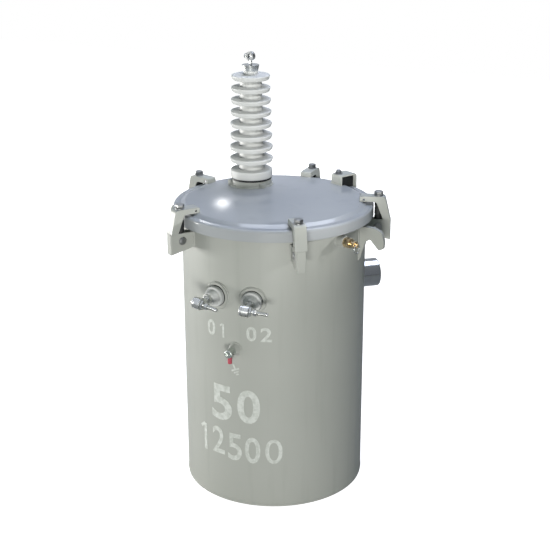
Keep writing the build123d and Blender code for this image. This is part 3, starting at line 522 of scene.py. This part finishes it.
# a plain bar of paint, laid across and up from a place on the wall
def sprayedBar(target, angle, low, lean, across, up, wide, tall):
    shape = bmesh.new()
    bmesh.ops.create_grid(shape, x_segments=4, y_segments=2, size=0.5)
    lay = (Matrix.Rotation(radians(lean), 4, "Z") @ Matrix.Translation((across * mm, up * mm, 0))
           @ Matrix.Diagonal((wide * mm, tall * mm, 1, 1)))
    bmesh.ops.transform(shape, matrix=lay, verts=shape.verts)
    bendOnWall(target, shape, angle, low)


# plain figures: angle on the wall, width, lowest and highest edge, and how much bolder than the plain stroke
figureSet = {
    "size": [("5", -10.3, 53.8, 197, 282, 0.022), ("0", 8.3, 51.9, 201, 281, 0.022)],
    "lower": [("1", -25.7, 16, 108, 172.6, 0.012), ("2", -13.3, 34, 112.6, 178, 0.012),
              ("5", -1.2, 34, 105.5, 171, 0.012), ("0", 10.6, 35, 105, 168.4, 0.012),
              ("0", 24.0, 38, 107, 166.5, 0.0)],
    "terminals": [("0", -17.1, 22, 394, 430, 0.02), ("1", -8.45, 8.5, 395, 427, 0.02),
                  ("0", 10.65, 22, 397, 430, 0.02), ("2", 19.7, 24.6, 397, 429.4, 0.02)],
}
# the figure 1 as an upright and a short flag, in shares of its width
oneShape = {"stroke": 0.56, "offset": 0.22, "flagLean": -50, "flag": (0.05, -0.46, 0.44, 1.0)}
shape = bmesh.new()
for row in figureSet.values():
    for text, angle, width, low, high, bold in row:
        if text == "1":
            tall = high - low
            stroke, offset = oneShape["stroke"] * width, oneShape["offset"] * width
            flag = [share * width for share in oneShape["flag"]]
            sprayedBar(shape, angle, low, 0, offset, tall / 2, stroke, tall)
            sprayedBar(shape, angle, high, oneShape["flagLean"], *flag)
        else:
            sprayedFigure(shape, text, angle, width, low, high, bold)
makePiece("sprayedFigures", shape, stencilPaint)

# earth sign: an upright and three bars that shorten downwards, leaning as it was sprayed
earthSign = {"angle": 0.15, "height": 325.5, "lean": 24,
             "bars": [(0, 7, 4, 12), (0, 0.5, 20, 4), (0, -5.5, 13, 3.6), (0, -11, 6.5, 3.6)]}
shape = bmesh.new()
for across, up, wide, tall in earthSign["bars"]:
    sprayedBar(shape, earthSign["angle"], earthSign["height"], earthSign["lean"], across, up, wide, tall)
makePiece("earthSign", shape, stencilPaint)
print("marks sprayed")

# screw on top of the strap: a washer and a domed nut
screwSet = {"angle": 152.0, "radius": 187.5, "height": 679, "turn": 15, "nutSeat": 1.6, "nut": (13, 5, 0.8),
            "washer": [(0, -0.2), (9, -0.2), (9, 1.1), (8.5, 1.6), (0, 1.6)],
            "dome": [(0, 6.4), (5.6, 6.4), (5.2, 8.2), (3.9, 10), (2.0, 11), (0, 11.3)]}
shape = bmesh.new()
place = axisFrame(atWall(screwSet["angle"], screwSet["radius"] * mm, screwSet["height"] * mm), (0, 0, 1),
                  screwSet["turn"])
turnedForm(shape, place, screwSet["washer"])
hexForm(shape, place @ Matrix.Translation((0, 0, screwSet["nutSeat"] * mm)), *screwSet["nut"])
turnedForm(shape, place, screwSet["dome"], steps=24)
makePiece("strapScrew", shape, zincPlate)

# rubber buffer under the strap, between its two legs; its black stands in for the shade inside the strap, a
# painted shade
strapShadeBlockSet = {"angle": 151, "inner": 183, "outer": 219, "low": 646, "high": 675.3, "half": 12.5, "round": 2.0}
shape = bmesh.new()
bmesh.ops.create_cube(shape, size=1.0)
reach = strapShadeBlockSet["outer"] - strapShadeBlockSet["inner"]
tall = strapShadeBlockSet["high"] - strapShadeBlockSet["low"]
bmesh.ops.scale(shape, vec=(2 * strapShadeBlockSet["half"] * mm, tall * mm, reach * mm), verts=shape.verts)
bmesh.ops.bevel(shape, geom=shape.edges[:], offset=strapShadeBlockSet["round"] * mm, segments=3, profile=0.5,
                affect="EDGES", material=-1)
middle = wallFrame(strapShadeBlockSet["angle"], (strapShadeBlockSet["inner"] + strapShadeBlockSet["outer"]) / 2 * mm,
                   (strapShadeBlockSet["low"] + strapShadeBlockSet["high"]) / 2 * mm)
bmesh.ops.transform(shape, matrix=middle, verts=shape.verts)
makePiece("strapShadeBlock", shape, mouldedRubber)

# rubber sleeves on the clamp bolts, between lug and clamp, with two shallow grooves; their black stands in
# for the shade in that gap, a painted shade
sleeveSet = {"radius": 8.3, "groove": 7.5, "low": 604, "high": 662, "edge": 1,
             "grooveStops": (18, 19, 21, 22)}
wide, slim, edge = sleeveSet["radius"], sleeveSet["groove"], sleeveSet["edge"]
groove = list(zip((wide, slim, slim, wide), sleeveSet["grooveStops"]))
sleeveHalf = [(0, 0), (wide - edge, 0), (wide, edge)] + groove
sleeveProfile = ([(radius, sleeveSet["low"] + up) for radius, up in sleeveHalf]
                 + [(radius, sleeveSet["high"] - down) for radius, down in sleeveHalf[::-1]])
for number, angle in enumerate(clampAngles):
    shape = bmesh.new()
    upright = axisFrame(atWall(angle, clampBoltSet["radius"] * mm, 0), (0, 0, 1))
    turnedForm(shape, upright, sleeveProfile, steps=28)
    makePiece("boltSleeveShadeFill%d" % (number + 1), shape, mouldedRubber)
print("small fittings made")

# pale floor that reads as white and keeps the shadow
floorLook = {"size": 5.0, "colour": "#8C8E8D", "seen": "#B4B4B4", "white": 0.97, "mirrored": 0.08}
floorMesh = bpy.data.meshes.new("studioFloor")
shape = bmesh.new()
bmesh.ops.create_grid(shape, x_segments=2, y_segments=2, size=floorLook["size"])
shape.to_mesh(floorMesh)
shape.free()
studioFloor = bpy.data.objects.new("studioFloor", floorMesh)
scene.collection.objects.link(studioFloor)
floorPaint = bpy.data.materials.new("floorPaint")
floorPaint.use_nodes = True
tree = floorPaint.node_tree
tree.nodes.clear()
rays = addNode(tree, "ShaderNodeLightPath")
dimmed = addNode(tree, "ShaderNodeMath", {"operation": "MULTIPLY"}, _0=rays.outputs["Is Glossy Ray"],
                 _1=floorLook["mirrored"])
mirrored = addNode(tree, "ShaderNodeMath", {"operation": "MAXIMUM"}, _0=dimmed.outputs[0],
                   _1=rays.outputs["Is Transmission Ray"])
seen = addNode(tree, "ShaderNodeMath", {"operation": "MAXIMUM"}, _0=rays.outputs["Is Camera Ray"],
               _1=mirrored.outputs[0])
lit = addNode(tree, "ShaderNodeBsdfDiffuse", None, Color=hexColour(floorLook["colour"]))
shaded = addNode(tree, "ShaderNodeBsdfDiffuse", None, Color=hexColour(floorLook["seen"]))
plain = addNode(tree, "ShaderNodeEmission", None, Color=(1, 1, 1, 1), Strength=floorLook["white"])
bright = addNode(tree, "ShaderNodeAddShader", None, _0=shaded.outputs[0], _1=plain.outputs[0])
both = addNode(tree, "ShaderNodeMixShader", None, Fac=seen.outputs[0], _1=lit.outputs[0],
               _2=bright.outputs[0])
addNode(tree, "ShaderNodeOutputMaterial", None, Surface=both.outputs[0])
floorMesh.materials.append(floorPaint)

# white room behind, and a soft light that falls off across it, from the camera's left to its right
worldLook = {"light": "#C4E3DA", "left": 0.18, "right": 0.10, "shineLeft": 0.8, "shineRight": 0.12,
             "lightEdges": (-0.9, 0.9), "shineEdges": (-0.5, 0.9), "shineColour": (0.86, 0.91, 1, 1),
             "across": (0.911, 0.413, 0)}
world = bpy.data.worlds.new("softRoom")
scene.world = world
world.use_nodes = True
tree = world.node_tree
tree.nodes.clear()
rays = addNode(tree, "ShaderNodeLightPath")
heading = addNode(tree, "ShaderNodeTexCoord").outputs["Generated"]
side = addNode(tree, "ShaderNodeVectorMath", {"operation": "DOT_PRODUCT"}, _0=heading, _1=worldLook["across"])
start, end = worldLook["lightEdges"]
level = addNode(tree, "ShaderNodeMapRange", None, Value=side.outputs["Value"], _1=start, _2=end,
                _3=worldLook["left"], _4=worldLook["right"])
start, end = worldLook["shineEdges"]
shine = addNode(tree, "ShaderNodeMapRange", None, Value=side.outputs["Value"], _1=start, _2=end,
                _3=worldLook["shineLeft"], _4=worldLook["shineRight"])
soft = addNode(tree, "ShaderNodeBackground", None, Color=hexColour(worldLook["light"]),
               Strength=level.outputs[0])
mirror = addNode(tree, "ShaderNodeBackground", None, Color=worldLook["shineColour"],
                 Strength=shine.outputs[0])
white = addNode(tree, "ShaderNodeBackground", None, Color=(1, 1, 1, 1), Strength=1.0)
unlit = addNode(tree, "ShaderNodeMixShader", None, Fac=rays.outputs["Is Glossy Ray"], _1=soft.outputs[0],
                _2=mirror.outputs[0])
clear = addNode(tree, "ShaderNodeMath", {"operation": "MAXIMUM"}, _0=rays.outputs["Is Camera Ray"],
                _1=rays.outputs["Is Transmission Ray"])
both = addNode(tree, "ShaderNodeMixShader", None, Fac=clear.outputs[0], _1=unlit.outputs[0],
               _2=white.outputs[0])
addNode(tree, "ShaderNodeOutputWorld", None, Surface=both.outputs[0])


# a soft panel, or a spot with a soft edge where a cone is given
def softLamp(name, look):
    if "cone" in look:
        lampData = bpy.data.lights.new(name, "SPOT")
        lampData.spot_size = radians(look["cone"])
        lampData.spot_blend = look["blend"]
        lampData.shadow_soft_size = look["radius"]
    else:
        lampData = bpy.data.lights.new(name, "AREA")
        lampData.shape = "RECTANGLE"
        lampData.size, lampData.size_y = look["size"]
    lampData.energy = look["watts"]
    lampData.color = hexColour(look["colour"])[:3]
    lamp = bpy.data.objects.new(name, lampData)
    lamp.location = look["place"]
    lamp.rotation_euler = (Vector(look["aim"]) - Vector(look["place"])).to_track_quat("-Z", "Y").to_euler()
    lamp.visible_camera = False
    lamp.visible_glossy = look["shine"]
    scene.collection.objects.link(lamp)


lampSet = {
    "leftWindow": {"place": (-3.0, -0.25, 0.3), "aim": (0, 0, 0.1), "size": (2.2, 0.5), "watts": 104,
                   "colour": "#FFFDFA", "shine": True},
    "frontSoft": {"place": (1.10, -2.85, 0.3), "aim": (0, 0, 0.1), "size": (1.2, 0.5), "watts": 68,
                  "colour": "#FFFEFA", "shine": True},
    "overhead": {"place": (0.2, 0.9, 3.2), "aim": (0, 0, 0.5), "size": (2.4, 2.0), "watts": 79,
                 "colour": "#E2E9FF", "shine": True},
    "rearFill": {"place": (-1.5, 2.6, 0.6), "aim": (0, 0, 0.35), "size": (1.2, 1.2), "watts": 30,
                 "colour": "#FFFEFC", "shine": False},
    "skirtSpot": {"place": (2.95, 0.52, 1.5), "aim": (0.14, -0.17, 0.68), "cone": 5.5, "blend": 0.9,
                  "radius": 0.1, "watts": 330, "colour": "#FFFEFC", "shine": False},
    "bushingSpot": {"place": (1.75, -1.75, 2.2), "aim": (-0.084, 0.066, 0.82), "cone": 8, "blend": 0.7,
                    "radius": 0.05, "watts": 240, "colour": "#FFFEFC", "shine": False},
    "rearSpot": {"place": (1.1, -2.5, 1.2), "aim": (0.07, 0.19, 0.71), "cone": 5, "blend": 0.7,
                 "radius": 0.05, "watts": 420, "colour": "#FFFEFC", "shine": False},
    "frontHigh": {"place": (0.66, -1.81, 2.75), "aim": (0, -0.2, 0.45), "size": (0.4, 0.3), "watts": 4,
                  "colour": "#FFFEFC", "shine": True},
    "spark": {"place": (-1.49, 2.46, 1.68), "aim": (-0.1, 0.1, 0.66), "size": (0.05, 0.05), "watts": 0.38,
              "colour": "#FFFFFF", "shine": True},
}
for name, look in lampSet.items():
    softLamp(name, look)
print("lamps on")
